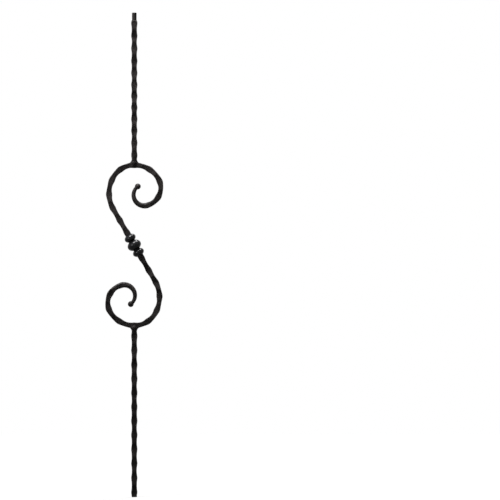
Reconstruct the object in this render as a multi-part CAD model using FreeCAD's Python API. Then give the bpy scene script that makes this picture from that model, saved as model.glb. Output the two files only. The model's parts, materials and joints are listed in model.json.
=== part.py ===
import FreeCAD, Part
import math
import os

V = FreeCAD.Vector

# Overall sizes in millimetres. The foot stands on z = 0 and both bars lie on the z axis.
overall_height = 1117.6
lower_bar_length = 388.4
dowel_diameter = 11.1
dowel_length = 18.3
dowel_chamfer = 0.8
shoulder_length = 4.0
shoulder_step = 0.5

# Hammered round stock, shared by the bars and the scrolls. Its ridges keep the stock's thickness, and
# the metal that the dents displace spreads into the corners.
stock_radius = 7.3
corner_spread = 1.2
dent_depth = 1.5
crest_half = 4.0
upper_bar_pitch = 27.7
lower_bar_pitch = 32.8
leg_pitch = 33.0
curl_pitch = 36.5

# Unevenness of hand work: dents wander by a share of their pitch and differ by a share of their depth.
upper_bar_wander = 0.1
steady_wander = 0.03
wander_beat = 0.57
depth_wander = 0.13
depth_beat = 2.4

# Centre line of one scroll: a straight leg from the knuckle, then arcs by radius and sweep in degrees.
leg_tilt = 30.1
leg_arc_radius = 73.4
leg_arc_sweep = 62.3
crown_arc_radius = 55.4
side_arc_radius = 65.0
side_arc_sweep = 55.8
turn_arc_radius = 42.3
turn_arc_sweep = 109.3
tip_arc_radius = 24.9
tip_arc_sweep = 157.4
taper_length = 110.0
tip_neck_radius = 4.1
ball_radius = 7.0
spread_length = 30.0

# Knuckle of three beads on the leg's line.
middle_bead_radius = 16.4
middle_bead_half = 12.2
small_bead_radius = 13.6
small_bead_half = 9.3
bead_spacing = 19.0
bead_neck_radius = 7.3

# Weld where a bar's coped end stands on a crown.
cope_depth = 2.4
weld_height = 12.0
weld_spread = 7.5
weld_front = 1.4
weld_rise = 3.0
weld_lap = 12.5
flare_rounding = 0.95

# Sections through the weld's flare, as shares of its height above its widest place.
flare_shares = (0.0, 0.03, 0.1, 0.25, 0.45, 0.7, 1.0)

# Slack that keeps a cutting outline off the round bar it trims, and sections along the tapering tip.
clearance = 0.6
taper_rings = 12

corner_radius = stock_radius + corner_spread
valley_half = stock_radius - dent_depth
clear_half = corner_radius + clearance
front = V(0, -1, 0)


def ellipse_reach(radius, half_length, at_radius):
    """Distance along a bead's axis from its middle to where it has narrowed to a radius."""
    return half_length * math.sqrt(1 - (at_radius / radius) ** 2)


knuckle_half = bead_spacing + ellipse_reach(small_bead_radius, small_bead_half, stock_radius)


def along(heading):
    return V(math.cos(heading), 0, math.sin(heading))


def outward(heading):
    return V(-math.sin(heading), 0, math.cos(heading))


class Line:
    """Straight stretch of a centre line."""

    def __init__(self, start, heading, length):
        self.start, self.heading, self.length = start, heading, length

    def heading_at(self, distance):
        return self.heading

    def at(self, distance, offset):
        return self.start + along(self.heading) * distance + outward(self.heading) * offset


class Arc:
    """Stretch of a centre line that bends to the right; offsets are positive on its outer side."""

    def __init__(self, start, heading, radius, sweep):
        self.heading, self.radius = heading, radius
        self.length = radius * sweep
        self.centre = start - outward(heading) * radius

    def heading_at(self, distance):
        return self.heading - distance / self.radius

    def at(self, distance, offset):
        return self.centre + outward(self.heading_at(distance)) * (self.radius + offset)

    def sweep_disc(self, disc, length):
        return disc.revolve(self.centre, V(0, 1, 0), math.degrees(length / self.radius))


class CentreLine:
    """Lines and arcs joined end to end, addressed by the distance run from the first one's start."""

    def __init__(self, stretches):
        self.stretches = stretches
        self.length = sum(stretch.length for stretch in stretches)

    def locate(self, distance):
        for stretch in self.stretches[:-1]:
            if distance < stretch.length:
                return stretch, distance
            distance -= stretch.length
        return self.stretches[-1], distance

    def at(self, distance, offset=0.0):
        stretch, rest = self.locate(distance)
        return stretch.at(rest, offset)

    def heading_at(self, distance):
        stretch, rest = self.locate(distance)
        return stretch.heading_at(rest)

    def ring(self, distance, radius):
        return Part.Wire(Part.makeCircle(radius, self.at(distance), along(self.heading_at(distance))))

    def disc(self, distance, radius):
        return Part.Face(self.ring(distance, radius))


def scroll_line():
    """Centre line of the upper scroll about the knuckle's middle, and the distance to its crown.

    The straight leg is as long as it takes to bring the crown over the knuckle's middle.
    """
    heading = math.radians(90 + leg_tilt)
    leg_sweep = math.radians(leg_arc_sweep)
    crown_sweep = heading - leg_sweep
    drift = leg_arc_radius * (math.sin(heading) - math.sin(crown_sweep))
    drift += crown_arc_radius * math.sin(crown_sweep)
    stretches = [Line(V(0, 0, 0), heading, drift / math.sin(math.radians(leg_tilt)))]
    bends = [
        (leg_arc_radius, leg_sweep),
        (crown_arc_radius, crown_sweep),
        (side_arc_radius, math.radians(side_arc_sweep)),
        (turn_arc_radius, math.radians(turn_arc_sweep)),
        (tip_arc_radius, math.radians(tip_arc_sweep)),
    ]
    for radius, sweep in bends:
        last = stretches[-1]
        stretches.append(Arc(last.at(last.length, 0), last.heading_at(last.length), radius, sweep))
    crown = sum(stretch.length for stretch in stretches[:3])
    return CentreLine(stretches), crown


class Dent:
    """Hollow left by one hammer blow: its middle and half length along the bar, and its depth.

    It ends short of the next one, where it runs smoothly into the rounded crest between them.
    """

    def __init__(self, middle, half_length, depth):
        self.middle, self.half_length, self.depth = middle, half_length, depth
        self.valley = stock_radius - depth
        self.hollow_half = half_length - crest_half
        self.rise = depth * self.hollow_half / half_length

    def half_at(self, distance):
        return self.valley + self.rise * (distance / self.hollow_half) ** 2

    def run_out(self):
        """Distance from the middle at which the hollow, carried on, is clear of the round bar."""
        return self.hollow_half * math.sqrt((clear_half - self.valley) / self.rise)

    def face_radius(self):
        """Radius of the hammer face that leaves the dent when it meets the next ones in sharp ridges."""
        return self.half_length ** 2 / (2 * self.depth)


def dent_row(start, way, pitch, count, wander):
    """Dents from a ridge one way along the bar, a pitch apart but for the wander of hand work."""
    ridges = [(k + wander * math.sin(wander_beat * k)) * pitch for k in range(count + 1)]
    dents = []
    for k in range(count):
        near, far = ridges[k], ridges[k + 1]
        depth = dent_depth * (1 - depth_wander * math.sin(depth_beat * k))
        dents.append(Dent(start + way * (near + far) / 2, (far - near) / 2, depth))
    return dents[::way]


def arc_edge(first, middle, last):
    return Part.Arc(first, middle, last).toShape()


def line_edge(first, last):
    return Part.LineSegment(first, last).toShape()


def slab(edges):
    """Outline in the plane of the scroll, made solid from before the front to behind the back."""
    face = Part.Face(Part.Wire(Part.__sortEdges__(edges)))
    face.translate(front * clear_half)
    return face.extrude(front * (-2 * clear_half))


def dented_edge(dents, place):
    """Hollows and crests of one side of a bar, and the places where the first and last hollows run out.

    place gives the point that lies at a distance along the bar and at a half thickness.
    """
    edges = []
    for dent in dents:
        before = dent.run_out() if dent is dents[0] else dent.hollow_half
        after = dent.run_out() if dent is dents[-1] else dent.hollow_half
        edges.append(arc_edge(place(dent.middle - before, dent.half_at(before)),
                              place(dent.middle, dent.valley),
                              place(dent.middle + after, dent.half_at(after))))
    for dent, following in zip(dents, dents[1:]):
        edges.append(arc_edge(place(dent.middle + dent.hollow_half, dent.valley + dent.rise),
                              place(dent.middle + dent.half_length, stock_radius),
                              place(following.middle - following.hollow_half,
                                    following.valley + following.rise)))
    return edges, dents[0].middle - dents[0].run_out(), dents[-1].middle + dents[-1].run_out()


def straight_slab(dents):
    """Slab of a straight bar along z with dents on both edges."""
    edges = []
    for side in (1, -1):
        dented, begin, end = dented_edge(dents, lambda distance, half: V(side * half, 0, distance))
        edges += dented
    edges += [line_edge(V(-clear_half, 0, z), V(clear_half, 0, z)) for z in (begin, end)]
    return slab(edges)


def hammered_bar(blank, length, pitch, wander):
    """Round blank along z from a crown, dented on its sides and, half a pitch on, front and back."""
    count = math.ceil(length / pitch) + 2
    sides = straight_slab(dent_row(-pitch / 2, 1, pitch, count, wander))
    faces = straight_slab(dent_row(-pitch, 1, pitch, count, wander))
    faces.rotate(V(0, 0, 0), V(0, 0, 1), 90)
    return blank.common(sides).common(faces).Solids[0]


def scroll_blank(line):
    """Round bar from the knuckle's end along the scroll, tapering at its end to a neck and a ball."""
    leg = line.stretches[0]
    spread = line.at(knuckle_half + spread_length)
    way = along(leg.heading)
    parts = [
        Part.makeCone(stock_radius, corner_radius, spread_length, line.at(knuckle_half), way),
        Part.makeCylinder(corner_radius, leg.length - knuckle_half - spread_length, spread, way),
    ]
    taper_start = line.length - taper_length
    distance = leg.length
    for bend in line.stretches[1:]:
        length = min(bend.length, taper_start - distance)
        if length > 0:
            parts.append(bend.sweep_disc(line.disc(distance, corner_radius), length))
        distance += bend.length
    rings = []
    for k in range(taper_rings):
        share = k / (taper_rings - 1)
        radius = corner_radius + (tip_neck_radius - corner_radius) * share
        rings.append(line.ring(taper_start + taper_length * share, radius))
    parts.append(Part.makeLoft(rings, True, False))
    parts.append(Part.makeSphere(ball_radius, line.at(line.length)))
    return parts[0].multiFuse(parts[1:])


def scroll_slab(line, dents):
    """Slab that dents the scroll's outer and inner edges and clears its leg's end and its tip."""
    edges = []
    for side in (1, -1):
        dented, begin, end = dented_edge(dents, lambda distance, half: line.at(distance, side * half))
        clear = side * clear_half
        edges += dented
        edges.append(line_edge(line.at(0, clear), line.at(begin, clear)))
        middle = (end + line.length) / 2
        edges.append(arc_edge(line.at(end, clear), line.at(middle, clear), line.at(line.length, clear)))
    beyond = line.at(line.length) + along(line.heading_at(line.length)) * clear_half
    edges.append(arc_edge(line.at(line.length, clear_half), beyond, line.at(line.length, -clear_half)))
    edges.append(line_edge(line.at(0, clear_half), line.at(0, -clear_half)))
    return slab(edges)


def scoops(line, dents):
    """Hammer faces that dent the front and the back of the scroll, each lying across the bar."""
    tools = []
    reach = 2 * corner_radius
    for dent in dents:
        radius = dent.face_radius()
        for side in (1, -1):
            base = line.at(dent.middle, -reach) + front * (side * (dent.valley + radius))
            tools.append(Part.makeCylinder(radius, 2 * reach, base, outward(line.heading_at(dent.middle))))
    return tools


def scroll_arm(line, crown):
    """Scroll from the knuckle's end to its ball, hammered on the edges and, in between, front and back."""
    leg_count = int((crown - knuckle_half) / leg_pitch)
    curl_count = round((line.length - line.stretches[-1].length - crown) / curl_pitch)
    leg = dent_row(crown, -1, leg_pitch, leg_count, steady_wander)
    curl = dent_row(crown, 1, curl_pitch, curl_count, steady_wander)
    ridges = [dent.middle for dent in leg + curl]
    ridges.append(ridges[-1] + curl_pitch)
    faces = [Dent((a + b) / 2, (b - a) / 2, dent_depth) for a, b in zip(ridges, ridges[1:])]
    arm = scroll_blank(line).common(scroll_slab(line, leg + curl))
    return arm.cut(scoops(line, faces)).Solids[0]


def bead_arc(middle, radius, half_length, low, high):
    """Half ellipse of a bead in the x z plane, between two places along its axis."""
    if radius > half_length:
        ellipse = Part.Ellipse(V(radius, 0, middle), V(0, 0, middle + half_length), V(0, 0, middle))
    else:
        ellipse = Part.Ellipse(V(0, 0, middle + half_length), V(radius, 0, middle), V(0, 0, middle))
    points = []
    for z in (low, high):
        points.append(V(radius * math.sqrt(1 - ((z - middle) / half_length) ** 2), 0, z))
    a, b = sorted(ellipse.parameter(point) for point in points)
    if b - a > math.pi:
        a, b = b - 2 * math.pi, a
    return Part.ArcOfEllipse(ellipse, a, b).toShape(), points


def knuckle_solid():
    """Turned knuckle along z: a middle bead between two small ones, ending where the bars butt on it."""
    middle_reach = ellipse_reach(middle_bead_radius, middle_bead_half, bead_neck_radius)
    small_reach = ellipse_reach(small_bead_radius, small_bead_half, bead_neck_radius)
    beads = [
        (-bead_spacing, small_bead_radius, small_bead_half, -knuckle_half, -bead_spacing + small_reach),
        (0, middle_bead_radius, middle_bead_half, -middle_reach, middle_reach),
        (bead_spacing, small_bead_radius, small_bead_half, bead_spacing - small_reach, knuckle_half),
    ]
    edges = []
    place = V(0, 0, -knuckle_half)
    for bead in beads:
        edge, (low, high) = bead_arc(*bead)
        edges += [line_edge(place, low), edge]
        place = high
    edges.append(line_edge(place, V(0, 0, knuckle_half)))
    edges.append(line_edge(V(0, 0, knuckle_half), V(0, 0, -knuckle_half)))
    profile = Part.Face(Part.Wire(Part.__sortEdges__(edges)))
    return profile.revolve(V(0, 0, 0), V(0, 0, 1), 360)


def rounded_ring(height, half_width, half_depth, rounding):
    """Level rectangle about the z axis whose corners are rounded by a share of its smaller half."""
    corner = rounding * min(half_width, half_depth)
    across, deep = half_width - corner, half_depth - corner
    bend = corner / math.sqrt(2)
    corners = []
    for x, y in ((1, -1), (1, 1), (-1, 1), (-1, -1)):
        beside = V(x * half_width, y * deep, height)
        facing = V(x * across, y * half_depth, height)
        middle = V(x * (across + bend), y * (deep + bend), height)
        corners.append((facing, middle, beside) if x * y < 0 else (beside, middle, facing))
    edges = []
    for points, following in zip(corners, corners[1:] + corners[:1]):
        edges += [arc_edge(*points), line_edge(points[-1], following[0])]
    return Part.Wire(edges)


def weld_blank():
    """Weld about a crown at z = 0: a hollow flare out along the scroll, and a bead that laps down over it.

    Both start inside the bar and end inside the scroll.
    """
    start = valley_half - clearance
    rings = [rounded_ring(-2 * cope_depth, start + weld_spread, start, flare_rounding)]
    for share in flare_shares:
        flare = 1 - math.sqrt(1 - (1 - share) ** 2)
        height = share * (weld_height + cope_depth) - cope_depth
        rings.append(rounded_ring(height, start + weld_spread * flare, start, flare_rounding))
    top = V(start, 0, weld_rise)
    widest = V(stock_radius + weld_front, 0, -cope_depth)
    bottom = V(start, 0, -weld_lap)
    swell = Part.BSplineCurve()
    swell.interpolate([top, widest, (widest + bottom) / 2, bottom])
    axis = [V(0, 0, bottom.z), V(0, 0, top.z)]
    edges = [swell.toShape(), line_edge(bottom, axis[0]), line_edge(*axis), line_edge(axis[1], top)]
    bead = Part.Face(Part.Wire(Part.__sortEdges__(edges))).revolve(V(0, 0, 0), V(0, 0, 1), 360)
    return Part.makeLoft(rings, True, True).fuse(bead)


def turned_over(shape, height):
    """Copy of a shape turned half a turn in the plane of the scroll about a height on the bar's axis."""
    copy = shape.copy()
    copy.rotate(V(0, 0, height), front, 180)
    return copy


def raised(shape, height):
    copy = shape.copy()
    copy.translate(V(0, 0, height))
    return copy


def upper_bar_solid(length):
    """Upper bar from its coped end at the crown, z = 0, to a tapered shoulder and a dowel."""
    plain_length = length - shoulder_length
    dowel_radius = dowel_diameter / 2
    blank = Part.makeCylinder(corner_radius, plain_length + cope_depth, V(0, 0, -cope_depth))
    shoulder_radius = dowel_radius + shoulder_step
    shoulder = Part.makeCone(corner_radius, shoulder_radius, shoulder_length, V(0, 0, plain_length))
    bar = hammered_bar(blank.fuse(shoulder), length, upper_bar_pitch, upper_bar_wander)
    dowel = Part.makeCylinder(dowel_radius, dowel_length, V(0, 0, length))
    rim = [edge for edge in dowel.Edges if edge.BoundBox.ZMin > length + dowel_length - dowel_chamfer]
    return bar.fuse(dowel.makeChamfer(dowel_chamfer, rim))


def lower_bar_solid():
    """Lower bar from its coped end at the crown, z = 0, up to what is its foot once turned over."""
    blank = Part.makeCylinder(corner_radius, lower_bar_length + cope_depth, V(0, 0, -cope_depth))
    return hammered_bar(blank, lower_bar_length, lower_bar_pitch, steady_wander)


def build():
    line, crown = scroll_line()
    scroll_half = line.at(crown, stock_radius).z
    lower_crown = lower_bar_length
    middle = lower_crown + scroll_half
    upper_crown = middle + scroll_half

    upper_scroll = raised(scroll_arm(line, crown), middle)
    lower_scroll = turned_over(upper_scroll, middle)
    knuckle = knuckle_solid()
    knuckle.rotate(V(0, 0, 0), front, leg_tilt)

    upper_bar = raised(upper_bar_solid(overall_height - dowel_length - upper_crown), upper_crown)
    upper_bar = upper_bar.cut(upper_scroll)
    lower_bar = turned_over(raised(lower_bar_solid(), lower_crown), lower_crown).cut(lower_scroll)

    weld = weld_blank()
    upper_weld = raised(weld, upper_crown).cut([upper_bar, upper_scroll])
    lower_weld = turned_over(raised(weld, lower_crown), lower_crown).cut([lower_bar, lower_scroll])

    return {
        "upper_bar": upper_bar,
        "upper_weld": upper_weld,
        "upper_scroll": upper_scroll,
        "knuckle": raised(knuckle, middle),
        "lower_scroll": lower_scroll,
        "lower_weld": lower_weld,
        "lower_bar": lower_bar,
    }


os.makedirs("parts", exist_ok=True)
for name, shape in build().items():
    shape.exportStep("parts/" + name + ".step")
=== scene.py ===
import json
import math

import bmesh
import bpy
import numpy as np
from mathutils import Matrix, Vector
from mathutils.bvhtree import BVHTree


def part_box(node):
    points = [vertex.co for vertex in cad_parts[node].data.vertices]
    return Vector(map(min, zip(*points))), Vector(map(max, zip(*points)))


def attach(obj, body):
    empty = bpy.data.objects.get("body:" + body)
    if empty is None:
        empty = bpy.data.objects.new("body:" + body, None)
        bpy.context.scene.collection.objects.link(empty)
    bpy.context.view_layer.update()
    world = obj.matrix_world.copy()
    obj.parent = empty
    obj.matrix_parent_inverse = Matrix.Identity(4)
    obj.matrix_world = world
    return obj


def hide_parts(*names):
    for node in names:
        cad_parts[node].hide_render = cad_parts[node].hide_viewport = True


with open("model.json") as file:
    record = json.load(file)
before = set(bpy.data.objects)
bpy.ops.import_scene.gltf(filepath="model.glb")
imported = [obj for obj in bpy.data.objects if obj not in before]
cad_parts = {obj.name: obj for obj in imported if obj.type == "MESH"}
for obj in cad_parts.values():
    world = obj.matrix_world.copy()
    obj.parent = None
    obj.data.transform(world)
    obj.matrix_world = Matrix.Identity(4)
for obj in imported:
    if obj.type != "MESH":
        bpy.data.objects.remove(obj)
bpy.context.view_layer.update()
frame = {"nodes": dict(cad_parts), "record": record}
scene = bpy.context.scene

# Lengths are in metres, unless a comment says otherwise.

# The photograph's frame: its width at the baluster, and its middle beside and above the foot.
view_width = 1.15335
view_centre_x = 0.2669
view_centre_z = 0.5699

# The camera stands far off, so that the view is nearly parallel. Its sensor is in millimetres.
camera_distance = 9.0
camera_reach = 90.0
sensor_width = 36.0

# Which nodes are hammered bar, turned knuckle and weld metal.
hammered_nodes = ("upper_bar", "upper_scroll", "lower_scroll", "lower_bar")
turned_nodes = ("knuckle",)
weld_nodes = ("upper_weld", "lower_weld")

# The grain of each kind of mesh, and the rounds of smoothing that ease its edges.
bar_grain, bar_easing = 0.0006, 4
knuckle_grain, knuckle_easing = 0.0005, 3
weld_grain, weld_easing = 0.0004, 3
easing_factor = 0.5

# The relief that the working leaves: the size of its features, and how deep they dip.
wave_size, wave_depth = 0.016, 0.00018
pit_size, pit_depth = 0.0035, 0.00005
lump_size, lump_depth = 0.004, 0.0003
lathe_size, lathe_depth = 0.006, 0.00003

# Points closer than the gap are one point, and within the reach of a joint the relief fades out.
seam_gap = 1e-6
seam_reach = 0.0025

# Noise in the paint as scale, detail and roughness, and the stretch of its values that is used.
patch_noise, patch_range = (55.0, 4.0, 0.6), (0.35, 0.65)
rub_noise, rub_range = (240.0, 3.0, 0.7), (0.4, 0.7)
sheen_noise, sheen_range = (130.0, 5.0, 0.65), (0.3, 0.7)

# How sharp an edge is before its paint wears, and is worn through, as Pointiness.
ridge_range = (0.505, 0.53)

# The paint's orange peel.
peel_detail, peel_roughness, peel_strength = 2.0, 0.5, 0.35

# Each material's paint: tones of its patches and worn ridges, gloss, and scale and depth of peel.
paints = {
    "hammered_iron": dict(
        dark=(0.0028, 0.0025, 0.0024), light=(0.018, 0.0161, 0.0157), worn=(0.06, 0.0544, 0.0534),
        roughness=(0.3, 0.46), specular=0.03, peel_scale=1600.0, peel_depth=0.00015),
    "turned_iron": dict(
        dark=(0.003, 0.003, 0.0034), light=(0.005, 0.005, 0.0056), worn=(0.012, 0.012, 0.013),
        roughness=(0.24, 0.3), specular=0.08, peel_scale=2600.0, peel_depth=0.00003),
    "weld_metal": dict(
        dark=(0.0028, 0.0025, 0.0025), light=(0.018, 0.0161, 0.0159), worn=(0.046, 0.0417, 0.0414),
        roughness=(0.3, 0.46), specular=0.03, peel_scale=1600.0, peel_depth=0.0002),
}

# The floor: half its width, its own tone and gloss.
floor_half = 3.0
floor_tone = 0.1
floor_roughness = 0.9
floor_specular = 0.1

# The glow that whitens the floor is less near the foot, where lamps light it and its shadow shows.
glow_near, glow_far = 0.57, 1.0
glow_reach = 1.25

# The surroundings: how bright they are as light on the object, and where they are seen.
world_light, world_seen = 0.03, 1.0

# Soft lights: where each is and what it is turned to, its side, its watts and its beam in degrees.
softboxes = {
    "key": dict(place=(-0.55, -0.42, 2.6), aim=(0.0, 0.05, 0.6), size=0.7, power=15.0, beam=45.0),
    "side": dict(place=(-1.3, -1.3, 1.2), aim=(0.0, 0.0, 0.7), size=0.6, power=1.0, beam=22.0),
    "fill": dict(place=(2.2, -1.2, 1.4), aim=(0.0, 0.0, view_centre_z), size=1.2, power=2.5,
                 beam=180.0),
    "back": dict(place=(0.35, 0.48, 2.6), aim=(0.0, -0.05, 0.55), size=0.7, power=9.0, beam=45.0),
}

black, white = (0.0, 0.0, 0.0, 1.0), (1.0, 1.0, 1.0, 1.0)

# A Mix node's sockets for two colours and their mix.
mix_first, mix_second, mix_result = 6, 7, 2


def relief_texture(name, kind, size):
    """Texture that a relief is read from, with features of about the given size."""
    texture = bpy.data.textures.new(name, kind)
    texture.noise_scale = size
    return texture


def planished_texture(name, size):
    """Shallow bowls that meet in soft ridges, as overlapping hammer blows leave them."""
    texture = relief_texture(name, "VORONOI", size)
    texture.distance_metric = "DISTANCE_SQUARED"
    return texture


def sink(piece, texture, depth):
    """Lowers the surface by up to a depth where the texture is dark, and nowhere raises it."""
    relief = piece.modifiers.new(texture.name, "DISPLACE")
    relief.texture = texture
    relief.texture_coords = "LOCAL"
    relief.mid_level = 1.0
    relief.strength = depth


def closed_copy(node):
    """Copy of a node's mesh with the seams between its faces joined."""
    mesh = bpy.data.meshes.new(node + "_surface")
    joined = bmesh.new()
    joined.from_mesh(frame["nodes"][node].data)
    bmesh.ops.remove_doubles(joined, verts=joined.verts, dist=seam_gap)
    joined.to_mesh(mesh)
    joined.free()
    return mesh


def surface_tree(node):
    """Search tree over a node's own surface."""
    mesh = frame["nodes"][node].data
    points = [vertex.co for vertex in mesh.vertices]
    return BVHTree.FromPolygons(points, [polygon.vertices for polygon in mesh.polygons])


def seat_seams(mesh, node):
    """Brings a worked surface back to the node's own one where it meets another node."""
    own = trees[node]
    low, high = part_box(node)
    margin = Vector((seam_reach, seam_reach, seam_reach))
    for other, tree in trees.items():
        other_low, other_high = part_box(other)
        from_corner = [max(a, b) for a, b in zip(low, other_low - margin)]
        to_corner = [min(a, b) for a, b in zip(high, other_high + margin)]
        if other == node or any(a > b for a, b in zip(from_corner, to_corner)):
            continue
        for vertex in mesh.vertices:
            if all(a <= c <= b for a, c, b in zip(from_corner, vertex.co, to_corner)):
                distance = tree.find_nearest(vertex.co, seam_reach)[3]
                if distance is not None:
                    seat = own.find_nearest(vertex.co)[0]
                    vertex.co = seat.lerp(vertex.co, distance / seam_reach)


def keep_inside(mesh, node):
    """Holds every point of a mesh inside its node's box."""
    low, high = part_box(node)
    points = np.zeros(len(mesh.vertices) * 3, np.float32)
    mesh.vertices.foreach_get("co", points)
    points = np.clip(points.reshape(-1, 3), np.array(low), np.array(high))
    mesh.vertices.foreach_set("co", points.ravel())
    mesh.update()


def worked_piece(node, grain, easing, reliefs):
    """Finely meshed piece in a node's place, with eased edges, relief and paint."""
    piece = bpy.data.objects.new(node + "_finish", closed_copy(node))
    scene.collection.objects.link(piece)
    even = piece.modifiers.new("even", "REMESH")
    even.mode = "VOXEL"
    even.voxel_size = grain
    ease = piece.modifiers.new("ease", "SMOOTH")
    ease.factor = easing_factor
    ease.iterations = easing
    for texture, depth in reliefs:
        sink(piece, texture, depth)
    evaluated = piece.evaluated_get(bpy.context.evaluated_depsgraph_get())
    mesh = bpy.data.meshes.new_from_object(evaluated)
    piece.modifiers.clear()
    piece.data = mesh
    seat_seams(mesh, node)
    keep_inside(mesh, node)
    for polygon in mesh.polygons:
        polygon.use_smooth = True
    mesh.materials.clear()
    mesh.materials.append(materials[slots[node]])
    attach(piece, "root")
    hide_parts(node)


def add_node(tree, kind, **inputs):
    """Adds a shader node with the given inputs, each a value or the socket that feeds it."""
    node = tree.nodes.new(kind)
    for name, value in inputs.items():
        socket = node.inputs[name.replace("_", " ")]
        if isinstance(value, bpy.types.NodeSocket):
            tree.links.new(value, socket)
        else:
            socket.default_value = value
    return node


def add_noise(tree, place, scale, detail, roughness):
    """Noise over a place."""
    node = add_node(tree, "ShaderNodeTexNoise", Vector=place, Scale=scale, Detail=detail,
                    Roughness=roughness)
    return node.outputs["Fac"]


def combine(tree, operation, first, second):
    """Two values taken together by an operation, such as their product."""
    node = tree.nodes.new("ShaderNodeMath")
    node.operation = operation
    tree.links.new(first, node.inputs[0])
    tree.links.new(second, node.inputs[1])
    return node.outputs["Value"]


def map_range(tree, value, source, target):
    """A value carried over from a source range to a target range, and held at its ends."""
    node = add_node(tree, "ShaderNodeMapRange", Value=value, From_Min=source[0],
                    From_Max=source[1], To_Min=target[0], To_Max=target[1])
    return node.outputs["Result"]


def ramp(tree, factor, places, colours):
    """Colour that goes from the first to the second between two places of a factor."""
    node = add_node(tree, "ShaderNodeValToRGB", Fac=factor)
    for element, place, colour in zip(node.color_ramp.elements, places, colours):
        element.position = place
        element.color = colour
    return node.outputs["Color"]


def new_material(name):
    """New material, its node tree and its shader."""
    material = bpy.data.materials.new(name)
    material.use_nodes = True
    return material, material.node_tree, material.node_tree.nodes["Principled BSDF"]


def painted_iron(name, dark, light, worn, roughness, specular, peel_scale, peel_depth):
    """Satin black paint of uneven tone and gloss, worn along the ridges, with a fine peel."""
    material, tree, shader = new_material(name)
    place = tree.nodes.new("ShaderNodeTexCoord").outputs["Object"]

    patches = add_noise(tree, place, *patch_noise)
    tone = ramp(tree, patches, patch_range, ((*dark, 1.0), (*light, 1.0)))
    pointiness = tree.nodes.new("ShaderNodeNewGeometry").outputs["Pointiness"]
    ridges = ramp(tree, pointiness, ridge_range, (black, white))
    rubs = ramp(tree, add_noise(tree, place, *rub_noise), rub_range, (black, white))
    colour = add_node(tree, "ShaderNodeMix", Factor=combine(tree, "MULTIPLY", ridges, rubs))
    colour.data_type = "RGBA"
    tree.links.new(tone, colour.inputs[mix_first])
    colour.inputs[mix_second].default_value = (*worn, 1.0)
    tree.links.new(colour.outputs[mix_result], shader.inputs["Base Color"])

    sheen = add_noise(tree, place, *sheen_noise)
    tree.links.new(map_range(tree, sheen, sheen_range, roughness), shader.inputs["Roughness"])
    shader.inputs["Specular IOR Level"].default_value = specular

    peel = add_noise(tree, place, peel_scale, peel_detail, peel_roughness)
    bump = add_node(tree, "ShaderNodeBump", Height=peel, Strength=peel_strength,
                    Distance=peel_depth)
    tree.links.new(bump.outputs["Normal"], shader.inputs["Normal"])
    return material


def seen_directly(tree):
    """1 where the camera, a reflection or a clear surface looks, and 0 for light on the object."""
    path = tree.nodes.new("ShaderNodeLightPath")
    seen = path.outputs["Is Camera Ray"]
    for name in ("Is Glossy Ray", "Is Transmission Ray"):
        seen = combine(tree, "MAXIMUM", seen, path.outputs[name])
    return seen


def make_floor():
    """Plain white floor that blends into the white surroundings and keeps a soft shadow."""
    mesh = bpy.data.meshes.new("floor")
    signs = ((-1, -1), (1, -1), (1, 1), (-1, 1))
    mesh.from_pydata([(x * floor_half, y * floor_half, 0.0) for x, y in signs], [], [(0, 1, 2, 3)])
    floor = bpy.data.objects.new("floor", mesh)
    scene.collection.objects.link(floor)
    material, tree, shader = new_material("white_floor")
    shader.inputs["Base Color"].default_value = (floor_tone, floor_tone, floor_tone, 1.0)
    shader.inputs["Roughness"].default_value = floor_roughness
    shader.inputs["Specular IOR Level"].default_value = floor_specular

    distance = tree.nodes.new("ShaderNodeVectorMath")
    distance.operation = "LENGTH"
    place = tree.nodes.new("ShaderNodeTexCoord").outputs["Object"]
    tree.links.new(place, distance.inputs[0])
    level = map_range(tree, distance.outputs["Value"], (0.0, glow_reach), (glow_near, glow_far))
    share = combine(tree, "MULTIPLY", seen_directly(tree), level)
    glow = add_node(tree, "ShaderNodeEmission", Color=white, Strength=share)
    blend = tree.nodes.new("ShaderNodeAddShader")
    tree.links.new(shader.outputs["BSDF"], blend.inputs[0])
    tree.links.new(glow.outputs["Emission"], blend.inputs[1])
    tree.links.new(blend.outputs["Shader"], tree.nodes["Material Output"].inputs["Surface"])
    mesh.materials.append(material)


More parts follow.
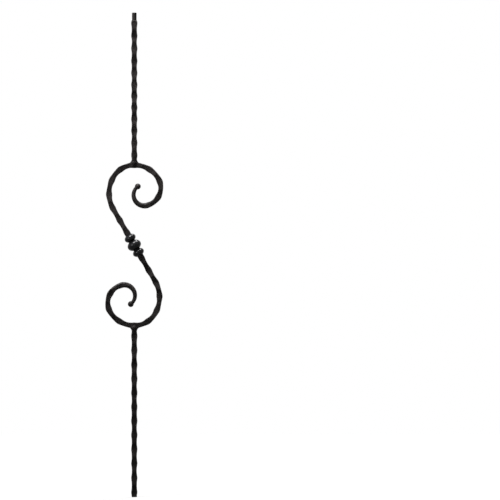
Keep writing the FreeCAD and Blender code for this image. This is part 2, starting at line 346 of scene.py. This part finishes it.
def light_world():
    """White surroundings where they are seen, and a dim even light from all round."""
    world = bpy.data.worlds.new("studio")
    scene.world = world
    world.use_nodes = True
    tree = world.node_tree
    background = tree.nodes["Background"]
    background.inputs["Color"].default_value = white
    level = map_range(tree, seen_directly(tree), (0.0, 1.0), (world_light, world_seen))
    tree.links.new(level, background.inputs["Strength"])


def add_softbox(name, place, aim, size, power, beam):
    """Square soft light at a place, turned to a point, with a beam of so many degrees."""
    lamp = bpy.data.lights.new(name, "AREA")
    lamp.shape = "SQUARE"
    lamp.size = size
    lamp.energy = power
    lamp.spread = math.radians(beam)
    softbox = bpy.data.objects.new(name, lamp)
    softbox.location = place
    softbox.rotation_mode = "QUATERNION"
    softbox.rotation_quaternion = (Vector(aim) - Vector(place)).to_track_quat("-Z", "Y")
    scene.collection.objects.link(softbox)


def make_camera():
    """Long lens straight in front, set aside so that the baluster stands as photographed."""
    camera = bpy.data.objects.new("camera", bpy.data.cameras.new("camera"))
    camera.data.sensor_width = sensor_width
    camera.data.lens = sensor_width * camera_distance / view_width
    camera.data.clip_end = camera_reach
    camera.location = (view_centre_x, -camera_distance, view_centre_z)
    camera.rotation_euler = (math.pi / 2, 0.0, 0.0)
    scene.collection.objects.link(camera)
    scene.camera = camera


slots = {part["node"]: part["material_slot"] for part in frame["record"]["subparts"]}
trees = {node: surface_tree(node) for node in frame["nodes"]}
materials = {name: painted_iron(name, **paint) for name, paint in paints.items()}

hand_waves = planished_texture("hand_waves", wave_size)
scale_pits = relief_texture("scale_pits", "CLOUDS", pit_size)
lumps = relief_texture("lumps", "CLOUDS", lump_size)
lathe = relief_texture("lathe", "CLOUDS", lathe_size)

for node in hammered_nodes:
    worked_piece(node, bar_grain, bar_easing, [(hand_waves, wave_depth), (scale_pits, pit_depth)])
for node in turned_nodes:
    worked_piece(node, knuckle_grain, knuckle_easing, [(lathe, lathe_depth)])
for node in weld_nodes:
    worked_piece(node, weld_grain, weld_easing, [(lumps, lump_depth)])

make_floor()
light_world()
for name, softbox in softboxes.items():
    add_softbox(name, **softbox)
make_camera()
scene.view_settings.view_transform = "Standard"
